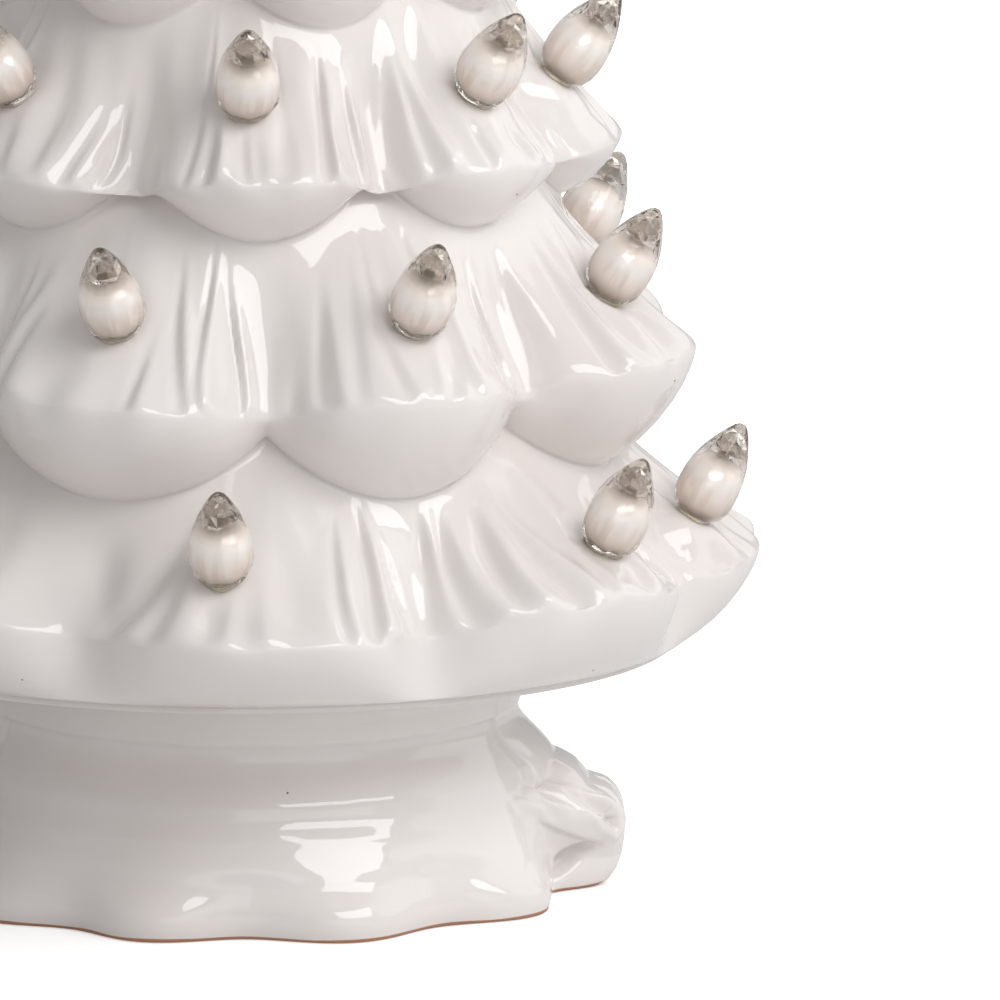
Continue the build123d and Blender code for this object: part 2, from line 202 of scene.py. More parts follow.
glazeLook = {
    "milk": (0.775, 0.735, 0.715), "pool": (0.725, 0.675, 0.655), "cloudScale": 14,
    "cloudStops": (0.3, 0.62), "speck": (0.09, 0.075, 0.06), "speckCells": 72.0,
    "speckPatches": 41, "speckGrow": 0.2, "speckLess": -0.117, "clay": (0.42, 0.21, 0.12),
    "bareHeight": 0.0011, "bareScale": 60, "bareWander": 0.0008, "bareRoughness": 0.8,
    "flowScale": 60, "fineScale": 210, "fineShare": 0.1, "flowBump": (0.25, 0.0011),
    "roughness": 0.035, "ior": 1.5, "specular": 0.55,
}


def glazeMaterial():
    material, tree, shader, place = newMaterial("whiteGlaze")
    cloud = noise(tree, place, glazeLook["cloudScale"], 3)
    tint = ramp(tree, cloud, glazeLook["cloudStops"], (glazeLook["pool"], glazeLook["milk"]))
    cells = addNode(tree, "ShaderNodeTexVoronoi", Scale=glazeLook["speckCells"])  # pinholes, far apart
    tree.links.new(place, cells.inputs["Vector"])
    patches = noise(tree, place, glazeLook["speckPatches"], 0)
    size = calculate(tree, "MULTIPLY_ADD", patches, glazeLook["speckGrow"], glazeLook["speckLess"])
    dot = calculate(tree, "LESS_THAN", cells.outputs["Distance"], size)
    specked = mixColour(tree, dot, tint, glazeLook["speck"])
    split = tree.nodes.new("ShaderNodeSeparateXYZ")
    tree.links.new(place, split.inputs[0])
    edge = noise(tree, place, glazeLook["bareScale"], 1)
    wander = calculate(tree, "MULTIPLY_ADD", edge, glazeLook["bareWander"], split.outputs["Z"])
    bare = calculate(tree, "LESS_THAN", wander, glazeLook["bareHeight"])  # the foot is left unglazed
    tree.links.new(mixColour(tree, bare, specked, glazeLook["clay"]), shader.inputs["Base Color"])
    gloss = mapRange(tree, bare, (0, 1), (glazeLook["roughness"], glazeLook["bareRoughness"]))
    tree.links.new(gloss, shader.inputs["Roughness"])
    fine = noise(tree, place, glazeLook["fineScale"], 1)
    broad = noise(tree, place, glazeLook["flowScale"], 2)
    flow = calculate(tree, "MULTIPLY_ADD", fine, glazeLook["fineShare"], broad)
    bump(tree, shader, flow, *glazeLook["flowBump"])
    setSockets(shader, ior=glazeLook["ior"], specular=glazeLook["specular"])
    return material


bulbLook = {
    # the darker tip colour is painted shade, for the dark surroundings seen through the clear tip
    "foot": (0.90, 0.86, 0.82), "body": (0.99, 0.965, 0.945), "tip": (0.64, 0.595, 0.55),
    "stops": (0.0, 0.2, 0.56, 0.74), "grain": 420, "bump": (0.3, 0.0006), "roughness": 0.02, "ior": 1.4,
}


def bulbMaterial():
    material, tree, shader, place = newMaterial("clearBulb")
    along = addNode(tree, "ShaderNodeAttribute", attribute_name="alongBulb").outputs["Fac"]
    # painted shade: the clear bulb's colour darkens towards its tip
    colours = [bulbLook[key] for key in ("foot", "body", "body", "tip")]
    tree.links.new(ramp(tree, along, bulbLook["stops"], colours), shader.inputs["Base Color"])
    bump(tree, shader, noise(tree, place, bulbLook["grain"]), *bulbLook["bump"])
    setSockets(shader, roughness=bulbLook["roughness"], ior=bulbLook["ior"], clear=1.0)
    return material


coreLook = {
    # colours up the core, which stands in for the lit glaze seen through the bulb: darker towards the foot,
    # then a painted highlight spot, then painted shade towards the tip
    "low": (0.82, 0.71, 0.635), "middle": (1.0, 0.90, 0.835), "paintedHighlight": (1.0, 0.97, 0.94),
    "top": (0.95, 0.86, 0.79), "stops": (0.08, 0.26, 0.42, 0.57),
    "streak": (0.86, 0.745, 0.665), "streakScale": (16, 1.5, 1),
    "streakStops": (0.46, 0.56), "streakFade": (0.18, 0.46), "clearing": (0.55, 0.64), "clearMost": 0.45,
    "grain": 300, "bump": (0.2, 0.0005), "roughness": 0.12, "specular": 1.0,
}


def coreMaterial():  # pale core inside the clear bulb, painted light for the lit glaze seen through it: a painted highlight spot and painted shade towards the tip
    material, tree, shader, place = newMaterial("paintedLightCore")
    along = addNode(tree, "ShaderNodeAttribute", attribute_name="alongBulb").outputs["Fac"]
    # paints the highlight spot and the shade towards the tip
    tint = ramp(tree, along, coreLook["stops"], [coreLook[key] for key in ("low", "middle", "paintedHighlight", "top")])
    around = tree.nodes.new("ShaderNodeUVMap")
    stretch = addNode(tree, "ShaderNodeMapping", Scale=coreLook["streakScale"])
    tree.links.new(around.outputs["UV"], stretch.inputs["Vector"])
    grain = noise(tree, stretch.outputs["Vector"], 1, 1)
    streaks = ramp(tree, grain, coreLook["streakStops"], ((0, 0, 0), (1, 1, 1)))
    fade = mapRange(tree, along, coreLook["streakFade"], (1, 0))  # streaks run up from the foot
    streaked = mixColour(tree, calculate(tree, "MULTIPLY", streaks, fade), tint, coreLook["streak"])
    tree.links.new(streaked, shader.inputs["Base Color"])
    clear = mapRange(tree, along, coreLook["clearing"], (0, coreLook["clearMost"]))
    tree.links.new(clear, shader.inputs["Transmission Weight"])
    bump(tree, shader, noise(tree, place, coreLook["grain"]), *coreLook["bump"])
    setSockets(shader, roughness=coreLook["roughness"], specular=coreLook["specular"])
    return material


starLook = {
    "haze": (0.93, 0.89, 0.86), "hazeScale": 90, "hazeStops": (0.3, 0.7),
    "grain": 300, "bump": (0.2, 0.0005),
}


def starMaterial():
    material, tree, shader, place = newMaterial("clearStar")
    haze = noise(tree, place, starLook["hazeScale"], 1)
    tint = ramp(tree, haze, starLook["hazeStops"], (starLook["haze"], bulbLook["body"]))
    tree.links.new(tint, shader.inputs["Base Color"])
    bump(tree, shader, noise(tree, place, starLook["grain"]), *starLook["bump"])
    setSockets(shader, roughness=bulbLook["roughness"], ior=bulbLook["ior"], clear=1.0)
    return material


glueLook = {
    "amber": (0.80, 0.70, 0.50), "pale": (0.86, 0.82, 0.74), "scale": 160, "stops": (0.3, 0.7),
    "grain": 500, "bump": (0.4, 0.0008), "roughness": 0.25, "clear": 0.55,
}


def glueMaterial():
    material, tree, shader, place = newMaterial("driedGlue")
    cloud = noise(tree, place, glueLook["scale"])
    tint = ramp(tree, cloud, glueLook["stops"], (glueLook["amber"], glueLook["pale"]))
    tree.links.new(tint, shader.inputs["Base Color"])
    bump(tree, shader, noise(tree, place, glueLook["grain"]), *glueLook["bump"])
    setSockets(shader, roughness=glueLook["roughness"], clear=glueLook["clear"])
    return material


mouldedLook = {"stops": (0.3, 0.7), "finer": 12, "bump": (0.25, 0.0004)}


def mouldedMaterial(name, dark, pale, grain, roughness, metal=0.0):
    material, tree, shader, place = newMaterial(name)
    tint = ramp(tree, noise(tree, place, grain, 3), mouldedLook["stops"], (dark, pale))
    tree.links.new(tint, shader.inputs["Base Color"])
    bump(tree, shader, noise(tree, place, grain * mouldedLook["finer"]), *mouldedLook["bump"])
    setSockets(shader, roughness=roughness, metal=metal)
    return material


glaze = glazeMaterial()
clearBulb = bulbMaterial()
# the bulbs' cores carry painted light
paintedLightCore = coreMaterial()
driedGlue = glueMaterial()
innerFinishes = {  # dark and pale tone, grain, roughness, metal
    "star_topper": starMaterial(),
    "bottom_cover": mouldedMaterial("coverPlastic", (0.66, 0.65, 0.62), (0.74, 0.73, 0.70), 40, 0.42),
    "battery_left": mouldedMaterial("cellWrap", (0.012, 0.013, 0.016), (0.02, 0.022, 0.026), 60, 0.3),
    "contact_plates": mouldedMaterial("platedStrip", (0.62, 0.60, 0.56), (0.75, 0.73, 0.70), 150, 0.25, 1.0),
    "switch_body": mouldedMaterial("switchPlastic", (0.012, 0.012, 0.012), (0.022, 0.022, 0.022), 120, 0.45),
    "led_board": mouldedMaterial("boardLacquer", (0.64, 0.66, 0.62), (0.74, 0.75, 0.71), 90, 0.35),
    "led_lamps": mouldedMaterial("lampLens", (0.86, 0.78, 0.55), (0.92, 0.86, 0.68), 120, 0.12),
    "board_screws": mouldedMaterial("screwSteel", (0.42, 0.42, 0.43), (0.55, 0.55, 0.55), 200, 0.3, 1.0),
    "battery_lead": mouldedMaterial("leadSleeve", (0.25, 0.012, 0.01), (0.34, 0.02, 0.016), 150, 0.4),
}
sameFinish = {
    "battery_door": "bottom_cover", "battery_middle": "battery_left", "battery_right": "battery_left",
    "contact_springs": "contact_plates", "switch_slider": "switch_body", "switch_lead": "battery_lead",
}


def dress(piece, material):
    piece.data.materials.clear()
    piece.data.materials.append(material)


for nodeName, finish in innerFinishes.items():
    dress(nodes[nodeName], finish)
for nodeName, twin in sameFinish.items():
    dress(nodes[nodeName], innerFinishes[twin])
print("materials mixed")


# seats of the bulbs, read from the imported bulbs

bulbForm = {
    "counts": (8, 8, 8, 8, 7, 6, 4), "length": 0.0236, "width": 0.0146, "stem": 0.009, "spin": 6.28,
    "shell": (  # share of the length, share of half the width, from the stem's end to the tip
        (-0.38, 0.0), (-0.38, 0.28), (-0.05, 0.28), (0.0, 0.4), (0.03, 0.66), (0.08, 0.83), (0.16, 0.95),
        (0.27, 1.0), (0.38, 0.99), (0.5, 0.93), (0.62, 0.82), (0.73, 0.67), (0.83, 0.5), (0.91, 0.35),
        (0.965, 0.22), (0.992, 0.12), (1.0, 0.0)),
    "sides": 48, "flutes": 10, "fluteDepth": 0.05, "fluteStart": (0.0, 0.12), "fluteEnd": (0.75, 0.98),
    "tipHollow": ((0.69, 0.0), (0.66, 0.34), (0.72, 0.46), (0.8, 0.36), (0.88, 0.16), (0.9, 0.0)),
    "tipSides": 9, "tipSpread": 0.14,
    "core": ((0.07, 0.0), (0.07, 0.28), (0.11, 0.54), (0.2, 0.72), (0.3, 0.79), (0.4, 0.76), (0.5, 0.62),
             (0.58, 0.42), (0.63, 0.2), (0.64, 0.0)),
    "coreSides": 24, "coreSpread": 0.03, "levelSpread": 0.2,
}


def bulbSeats(tier):
    points = readPoints(nodes[f"bulbs_tier_{tier + 1}"])
    count = bulbForm["counts"][tier]
    angles = turnOf(points)
    order = np.argsort(angles)
    gaps = np.diff(np.append(angles[order], angles[order[0]] + 2 * np.pi))
    cuts = np.sort(np.argsort(gaps)[-count:])  # the widest gaps part the bulbs
    groups = [order[(np.arange(low + 1, high + 1)) % len(order)]
              for low, high in zip(cuts, np.append(cuts[1:], cuts[0] + len(order)))]
    tierSeats = []
    for group in groups:
        cluster = points[group]
        middle = cluster.mean(axis=0)
        _, _, axes = np.linalg.svd(cluster - middle)
        out = axes[0] * np.sign(axes[0][2])
        along = (cluster - middle) @ out
        tierSeats.append((middle + out * (along.min() + bulbForm["stem"]), out))
    return tierSeats


seats = [bulbSeats(tier) for tier in range(len(bulbForm["counts"]))]
print("bulb seats found:", [len(tierSeats) for tierSeats in seats])


# the glazed tree

treeForm = {
    "columns": 644, "front": -52, "crowd": 0.4, "foot": 0.058, "height": 0.290, "spread": 0.1155,
    "rim": 0.099, "rimLip": 0.001, "apex": 0.009, "apexLip": 0.0015, "wall": 0.005,
    "starHole": 0.00275, "starDeep": 0.03, "hollowShare": 0.78, "hollowWalls": (1.5, 2.2),
    "lobes": (8, 8, 8, 8, 7, 6, 4), "turns": (2, 24.5, 2, 17.5, 8, 20, 40),
    "lobeWander": (1, 2, 3, 5), "lobeWanderTurn": 1.6,
    "tipRadii": (1.0, 0.875, 0.727, 0.605, 0.482, 0.36, 0.245),
    "tipHeights": (0.066, 0.229, 0.389, 0.56, 0.69, 0.805, 0.905),
    "sizeSpread": 0.012, "dropSpread": 0.0012,
    "ownLobes": {  # tier and lobe, share of the tier's radius, shift in height
        (0, 6): (1.0, -0.003), (1, 7): (1.028, 0.001), (1, 0): (0.962, -0.0015), (1, 5): (1.0, -0.001)},
    "valley": (0.86, 0.83, 0.82, 0.82, 0.82, 0.81, 0.80), "valleyDrop": 0.005, "valleyRound": 0.2,
    "archPower": 2.8,
    "creaseRadii": (0.745, 0.83), "creaseHeights": (0.636, 0.86, 0.75, 0.76, 0.76, 0.76),
    "creaseRises": (0.0068, 0.0078, 0.006, 0.0045, 0.0035, 0.0025),
    "fineTiers": 3, "underRows": (10, 6), "overRows": (19, 10), "rowCrowd": 0.55, "underFolds": 0.3,
    "underPulls": ((0.5, 0.03), (0.14, 0.7)), "overPulls": ((0.035, 0.26), (0.1, 0.48)),
    "press": (0.004, 0.012, 0.0075, 0.0003),  # flat to here, ends here, depth, set below the seat
}
foldForm = {
    "counts": (10, 10, 10, 10, 7, 7, 7), "height": 0.0017, "reach": 0.86, "jitter": 0.4, "fan": (0.92, 1.12),
    "drift": 0.1, "calmShare": 0.3, "calmReach": 0.45, "begins": (0.0, 0.6), "sizes": (0.15, 1.25),
    "widths": (0.045, 0.13), "narrow": 0.5, "widen": 0.6,
    "wiggles": (0, 6), "wiggleSize": 0.05, "wiggleRate": 4,
    "lobeEdge": (0.8, 1.0), "rise": 0.35, "end": (0.84, 1.03), "steepSide": 0.55, "longSide": 1.35,
    "grooveAt": 1.25, "grooveWide": 0.6, "grooveDeep": 0.7,
    "ownFolds": {  # start, end, first share, size, width, wiggle
        (1, 5): (
            (-0.78, -0.92, 0.1, 1.0, 0.1, 1), (-0.56, -0.76, 0.15, 1.4, 0.12, 2),
            (-0.36, -0.52, 0.3, 1.2, 0.1, 3), (0.3, 0.33, 0.35, 0.5, 0.05, 1),
            (0.46, 0.52, 0.1, 0.75, 0.06, 4), (0.6, 0.68, 0.0, 0.8, 0.05, 2),
            (0.76, 0.86, 0.1, 0.9, 0.06, 5)),
        (0, 6): (
            (-0.34, -0.68, 0.1, 1.0, 0.13, 1), (-0.18, -0.44, 0.15, 0.8, 0.11, 2),
            (-0.04, -0.24, 0.25, 0.7, 0.1, 4), (0.12, 0.0, 0.42, 0.55, 0.09, 3),
            (0.5, 0.56, 0.1, 0.7, 0.06, 2), (0.66, 0.78, 0.0, 1.1, 0.08, 1),
            (0.84, 0.92, 0.1, 0.9, 0.07, 5)),
        (0, 7): (
            (-0.88, -0.84, 0.0, 1.3, 0.09, 1), (-0.66, -0.63, 0.05, 1.3, 0.1, 3),
            (-0.47, -0.36, 0.1, 1.2, 0.09, 2), (-0.3, -0.12, 0.2, 0.9, 0.08, 4),
            (-0.1, 0.08, 0.5, 0.7, 0.08, 0), (0.25, 0.4, 0.3, 0.8, 0.08, 1),
            (0.55, 0.7, 0.2, 0.9, 0.08, 5)),
    },
    "rippleHeight": 0.00022, "ripples": 7, "rippleTurns": (14, 48), "rippleSlants": (-9, 9),
    "rippleStarts": (0, 6), "rippleRise": (0.0, 0.4), "rippleEnd": (0.9, 1.15),
    "browHeight": 0.0011, "browCorners": 6, "browReach": 0.85, "browSoft": 19, "browLess": 0.1,
}


def lobeShares(angles, tier):  # which lobe, and how far across it from -1 to 1
    pitch = 2 * math.pi / treeForm["lobes"][tier]
    size = math.radians(treeForm["lobeWanderTurn"])
    wander = slowWave(angles, 11 + tier, treeForm["lobeWander"], size)
    turned = (angles + wander - math.radians(treeForm["turns"][tier])) / pitch
    lobe = np.round(turned).astype(int)
    return lobe % treeForm["lobes"][tier], (turned - lobe) * 2


def foldStrokes(tier, number):  # start, end, first share, size, width, wiggle of each fold on a lobe
    if (tier, number) in foldForm["ownFolds"]:
        yield from foldForm["ownFolds"][tier, number]
        return
    draw = np.random.RandomState(100 * (tier + 1) + number)
    count, reach, jitter = foldForm["counts"][tier], foldForm["reach"], foldForm["jitter"]
    drift, calm = foldForm["drift"], foldForm["calmShare"]
    for fold in range(count):
        start = -reach + 2 * reach * (fold + draw.uniform(-jitter, jitter)) / (count - 1)
        end = start * draw.uniform(*foldForm["fan"]) + draw.uniform(-drift, drift)
        flank = calm + (1 - calm) * min(1, abs(start) / foldForm["calmReach"])  # smoother mid-lobe
        yield (start, end, draw.uniform(*foldForm["begins"]), flank * draw.uniform(*foldForm["sizes"]),
               draw.uniform(*foldForm["widths"]), draw.uniform(*foldForm["wiggles"]))


def foldLift(places, row, stroke):  # a steep left side with a groove, and a long right side
    start, end, begin, size, width, wiggle = stroke
    sway = foldForm["wiggleSize"] * np.sin(foldForm["wiggleRate"] * row + wiggle)
    middle = start + (end - start) * row + sway
    offset = (places - middle) / (width * (foldForm["narrow"] + foldForm["widen"] * row))
    fade = smoothStep(begin, begin + foldForm["rise"], row) * (1 - smoothStep(*foldForm["end"], row))
    side = np.where(offset < 0, foldForm["steepSide"], foldForm["longSide"])
    groove = np.exp(-((offset + foldForm["grooveAt"]) / foldForm["grooveWide"]) ** 2)
    return size * fade * (np.exp(-(offset / side) ** 2) - foldForm["grooveDeep"] * groove)


def tierFold(tier, angles, share):  # folds that fan down each lobe, over soft hand-worked ripples
    lobe, across = lobeShares(angles, tier)
    lift = np.zeros((len(share), len(angles)))
    row = share[:, None]
    for number in range(treeForm["lobes"][tier]):
        inside = np.where(lobe == number)[0]
        places = across[inside][None, :]
        edge = 1 - smoothStep(*foldForm["lobeEdge"], np.abs(places))
        for stroke in foldStrokes(tier, number):
            lift[:, inside] += foldForm["height"] * edge * foldLift(places, row, stroke)
    draw = np.random.RandomState(40 + tier)
    fade = smoothStep(*foldForm["rippleRise"], row) * (1 - smoothStep(*foldForm["rippleEnd"], row))
    for _ in range(foldForm["ripples"]):
        turn = draw.randint(*foldForm["rippleTurns"])
        slant, start = draw.uniform(*foldForm["rippleSlants"]), draw.uniform(*foldForm["rippleStarts"])
        lift += foldForm["rippleHeight"] * np.sin(turn * angles[None, :] + slant * row + start) * fade
    return lift


def browSteps(angles, tier):  # the brow's own zigzag, with a few corners to a lobe
    lobe, across = lobeShares(angles, tier)
    step = np.zeros_like(angles)
    reach = foldForm["browReach"]
    for number in range(treeForm["lobes"][tier]):
        draw = np.random.RandomState(900 + 10 * tier + number)
        between = draw.uniform(-reach, reach, foldForm["browCorners"])
        corners = np.sort(np.concatenate([[-1, 1], between]))
        heights = draw.uniform(-1, 1, len(corners))
        heights[[0, -1]] = 0
        inside = np.where(lobe == number)[0]
        step[inside] = np.interp(across[inside], corners, heights)
    soft = np.hanning(foldForm["browSoft"])
    ends = foldForm["browSoft"] // 2
    step = np.convolve(np.concatenate([step[-ends:], step, step[:ends]]), soft / soft.sum(), "valid")
    return step * foldForm["browHeight"] * (1 - foldForm["browLess"] * tier)


def spaced(count):  # shares that crowd towards both ends
    even = np.linspace(0, 1, count)
    crowd = treeForm["rowCrowd"]
    return (1 - crowd) * even + crowd * (0.5 - 0.5 * np.cos(np.pi * even))


def treeAngles():  # closer together at the front
    even = 2 * np.pi * np.arange(treeForm["columns"]) / treeForm["columns"]
    return even - treeForm["crowd"] * np.sin(even - math.radians(treeForm["front"]))


def creaseLevels(heights):
    return [low + (high - low) * share
            for low, high, share in zip(heights, heights[1:], treeForm["creaseHeights"])]


def creaseRings(angles, tips, heights):  # radius and level of the rim, each crease and the apex
    flat = np.ones_like(angles)
    low, high = treeForm["creaseRadii"]
    rings = [(treeForm["rim"] * flat, treeForm["foot"] * flat)]
    for tier, (level, rise) in enumerate(zip(creaseLevels(heights), treeForm["creaseRises"])):
        _, across = lobeShares(angles, tier + 1)
        arch = 1 - np.abs(across) ** 2
        rings.append((tips[tier + 1] * (low + (high - low) * arch), level + rise * (1 - 2 * arch)))
    rings.append((treeForm["apex"] * flat, (treeForm["foot"] + treeForm["height"]) * flat))
    return rings


def browRing(angles, tier, tip, height):  # radius and level of a tier's outer edge
    lobe, across = lobeShares(angles, tier)
    draw = np.random.RandomState(7 + tier)
    count, spread = treeForm["lobes"][tier], treeForm["dropSpread"]
    sizes = 1 + draw.uniform(-treeForm["sizeSpread"], 0.0, count)
    drops = draw.uniform(-spread, spread, count)
    for (ownTier, number), (size, drop) in treeForm["ownLobes"].items():
        if ownTier == tier:
            sizes[number], drops[number] = size, drop
    away = np.abs(across)
    hollow = treeForm["valleyRound"]  # the valley between two lobes has a round bottom
    eased = away - (away - 1 + hollow) ** 2 / (2 * hollow)
    away = np.where(away > 1 - hollow, eased, away) / (1 - hollow / 2)
    arch = 1 - away ** treeForm["archPower"]
    valley = treeForm["valley"][tier]
    level = height + drops[lobe] * arch - treeForm["valleyDrop"] * (1 - arch) + browSteps(angles, tier)
    return tip * (valley + (sizes[lobe] - valley) * arch), level


def tierRows(tier, brow, lower, upper):
    # from the lower crease round the bowl out to the brow, then up the sloping top to the upper crease
    radius, level = brow
    lowRadius, lowLevel = lower
    topRadius, topLevel = upper
    kind = 0 if tier < treeForm["fineTiers"] else 1
    under = spaced(treeForm["underRows"][kind])[:-1]
    over = spaced(treeForm["overRows"][kind])[:-1]
    out, drop = radius - lowRadius, level - lowLevel
    (outFirst, outLast), (dropFirst, dropLast) = treeForm["underPulls"]
    rows = [(bezier(lowRadius, lowRadius + outFirst * out, radius - outLast * out, radius, share),
             bezier(lowLevel, lowLevel + dropFirst * drop, lowLevel + dropLast * drop, level, share))
            for share in under]
    back, rise = topRadius - radius, topLevel - level
    (backFirst, backLast), (riseFirst, riseLast) = treeForm["overPulls"]
    rows += [(bezier(radius, radius + backFirst * back, topRadius - backLast * back, topRadius, share),
              bezier(level, level + riseFirst * rise, level + riseLast * rise, topLevel, share))
             for share in over]
    return rows, np.concatenate([1 + treeForm["underFolds"] * (1 - under), 1 - over])


def hollowRows(flat, tips, heights):  # the star's hole, then the plain hollow inside, down to the rim
    foot, wall, hole = treeForm["foot"], treeForm["wall"], treeForm["starHole"]
    top = foot + treeForm["height"]
    creaseShare, _ = treeForm["creaseRadii"]
    creaseWalls, browWalls = treeForm["hollowWalls"]
    inner = treeForm["rim"] - wall
    steps = [(treeForm["apex"] - treeForm["apexLip"], top), (hole, top), (hole, top - treeForm["starDeep"])]
    for tier in range(5, 0, -1):
        steps.append((tips[tier] * creaseShare - creaseWalls * wall, creaseLevels(heights)[tier - 1]))
        steps.append((tips[tier - 1] * treeForm["hollowShare"] - browWalls * wall, heights[tier - 1]))
    steps += [(inner, foot + treeForm["rimLip"]), (inner, foot)]
    return [(flat * radius, flat * level) for radius, level in steps]


def treeRows():
    angles = treeAngles()
    tips = [treeForm["spread"] * share for share in treeForm["tipRadii"]]
    heights = [treeForm["foot"] + treeForm["height"] * share for share in treeForm["tipHeights"]]
    creases = creaseRings(angles, tips, heights)
    rows, folds = [], []
    for tier, (tip, height) in enumerate(zip(tips, heights)):
        brow = browRing(angles, tier, tip, height)
        added, shares = tierRows(tier, brow, creases[tier], creases[tier + 1])
        rows += added
        folds.append(tierFold(tier, angles, shares))
    rows += [creases[-1]] + hollowRows(np.ones_like(angles), tips, heights)
    radii, levels = (np.array([row[place] for row in rows]) for place in (0, 1))
    lifts = np.zeros_like(radii)
    stacked = np.vstack(folds)
    lifts[: len(stacked)] = stacked
    return angles, radii, levels, lifts


def pressSeats(points):  # the clay is pressed flat where a bulb stands
    flatReach, reach, depth, below = treeForm["press"]
    for foot, out in (seat for tierSeats in seats for seat in tierSeats):
        away = points - foot
        along = away @ out
        beside = np.linalg.norm(away - along[:, None] * out, axis=1)
        near = (beside < reach) & (np.abs(along) < depth)
        press = 1 - smoothStep(flatReach, reach, beside[near])
        points[near] -= (along[near] + below)[:, None] * press[:, None] * out


def buildTree():
    angles, radii, levels, lifts = treeRows()
    slopeR = np.gradient(radii, axis=0)  # folds push out along the surface's own slope
    slopeZ = np.gradient(levels, axis=0)
    size = np.hypot(slopeR, slopeZ) + 1e-9
    radii = radii + lifts * slopeZ / size
    levels = levels - lifts * slopeR / size
    piece, points = ringSheet("glazedTree", angles, radii, levels)
    pressSeats(points)
    writePoints(piece, points)
    closeSeams(piece)
    bpy.ops.object.shade_smooth()
    dress(piece, glaze)
    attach(piece, "tree")
    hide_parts("tree_shell")
    return piece


glazedTree = buildTree()
print("tree shaped:", len(glazedTree.data.polygons))


# clear flame bulbs

def turnedForm(name, steps, sides, spread, seed):  # a sphere whose rings take each step's height and width
    clearSelection()
    bpy.ops.mesh.primitive_uv_sphere_add(segments=sides, ring_count=len(steps) - 1, radius=0.01)
    piece = newPiece(name)
    points = readPoints(piece)
    levels = np.round(points[:, 2], 6)
    turn = turnOf(points)
    draw = np.random.RandomState(seed)
    levelSpread = bulbForm["levelSpread"] * spread
    for level, (share, width) in zip(np.unique(levels), steps):
        found = np.where(levels == level)[0]
        radius = bulbForm["width"] / 2 * width * (1 + spread * draw.uniform(-1, 1, len(found)))
        points[found, 0] = radius * np.cos(turn[found])
        points[found, 1] = radius * np.sin(turn[found])
        points[found, 2] = bulbForm["length"] * (share + levelSpread * draw.uniform(-1, 1, len(found)))
    writePoints(piece, points)
    return piece


def markAlong(piece):
    along = piece.data.attributes.new("alongBulb", "FLOAT", "POINT")
    shares = readPoints(piece)[:, 2] / bulbForm["length"]
    along.data.foreach_set("value", np.clip(shares, 0, 1).astype(np.float32))
    return piece


def buildBulb():
    shell = turnedForm("flameBulb", bulbForm["shell"], bulbForm["sides"], 0, 1)
    points = readPoints(shell)
    share = points[:, 2] / bulbForm["length"]
    fade = smoothStep(*bulbForm["fluteStart"], share) * (1 - smoothStep(*bulbForm["fluteEnd"], share))
    flute = np.abs(np.sin(turnOf(points) * bulbForm["flutes"] / 2))
    points[:, :2] *= (1 - bulbForm["fluteDepth"] * fade * flute)[:, None]
    writePoints(shell, points)
    faceNormals(shell, inside=False)
    bpy.ops.object.shade_smooth()
    hollow = turnedForm(
        "tipHollow", bulbForm["tipHollow"], bulbForm["tipSides"], bulbForm["tipSpread"], 5)
    faceNormals(hollow, inside=True)  # the hollow's wall faces its air
    bpy.ops.object.shade_flat()
    selectOnly(shell, hollow)
    bpy.ops.object.join()
    return markAlong(shell)


def buildCore():
    core = turnedForm("bulbCore", bulbForm["core"], bulbForm["coreSides"], bulbForm["coreSpread"], 8)
    faceNormals(core, inside=False)
    bpy.ops.object.shade_smooth()
    return markAlong(core)


glueForm = {
    "sides": 28, "beadSides": 8, "radius": 0.0036, "bead": 0.0009, "flatten": 0.7, "lift": 0.0001,
    "lumps": ((2, 1, 0.08), (5, 0, 0.05)),  # lumps to a turn, start, size
}


def buildGlue():
    clearSelection()
    bpy.ops.mesh.primitive_torus_add(
        major_segments=glueForm["sides"], minor_segments=glueForm["beadSides"],
        major_radius=glueForm["radius"], minor_radius=glueForm["bead"])
    piece = newPiece("glueRing")
    points = readPoints(piece)
    turn = turnOf(points)
    swell = 1 + sum(size * np.sin(count * turn + start) for count, start, size in glueForm["lumps"])
    points[:, :2] *= swell[:, None]
    points[:, 2] = points[:, 2] * glueForm["flatten"] + glueForm["lift"]
    writePoints(piece, points)
    bpy.ops.object.shade_smooth()
    return piece


def seatMatrix(foot, out, spin):
    turned = Vector(out).to_track_quat("Z", "Y").to_matrix().to_4x4()
    return Matrix.Translation(Vector(foot)) @ turned @ Matrix.Rotation(spin, 4, "Z")


def copyTo(piece, name, places):
    copies = []
    for place in places:
        copied = piece.copy()
        copied.data = piece.data.copy()
        bpy.context.scene.collection.objects.link(copied)
        copied.matrix_world = place
        copies.append(copied)
    selectOnly(*copies)
    bpy.ops.object.transform_apply(location=True, rotation=True, scale=True)
    bpy.ops.object.join()
    return newPiece(name)


bulbMould, coreMould, glueMould = buildBulb(), buildCore(), buildGlue()
# the cores inside the clear bulbs are painted light, for the lit glaze seen through them
innerMoulds = ((coreMould, "paintedLightCores", paintedLightCore), (glueMould, "glueRings", driedGlue))
spinDraw = np.random.RandomState(3)
for tier, tierSeats in enumerate(seats):
    places = [seatMatrix(foot, out, spinDraw.uniform(0, bulbForm["spin"])) for foot, out in tierSeats]
    tierBulbs = copyTo(bulbMould, f"clearBulbs{tier + 1}", places)
    dress(tierBulbs, clearBulb)
    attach(tierBulbs, "tree")
    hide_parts(f"bulbs_tier_{tier + 1}")
    for mould, name, finish in innerMoulds:
        inner = copyTo(mould, f"{name}{tier + 1}", places)
        dress(inner, finish)
        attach(inner, "tree")
for mould in (bulbMould, coreMould, glueMould):
    bpy.data.objects.remove(mould)
print("bulbs set")


# the glazed base, with its ribbon and a moulded bow at each side

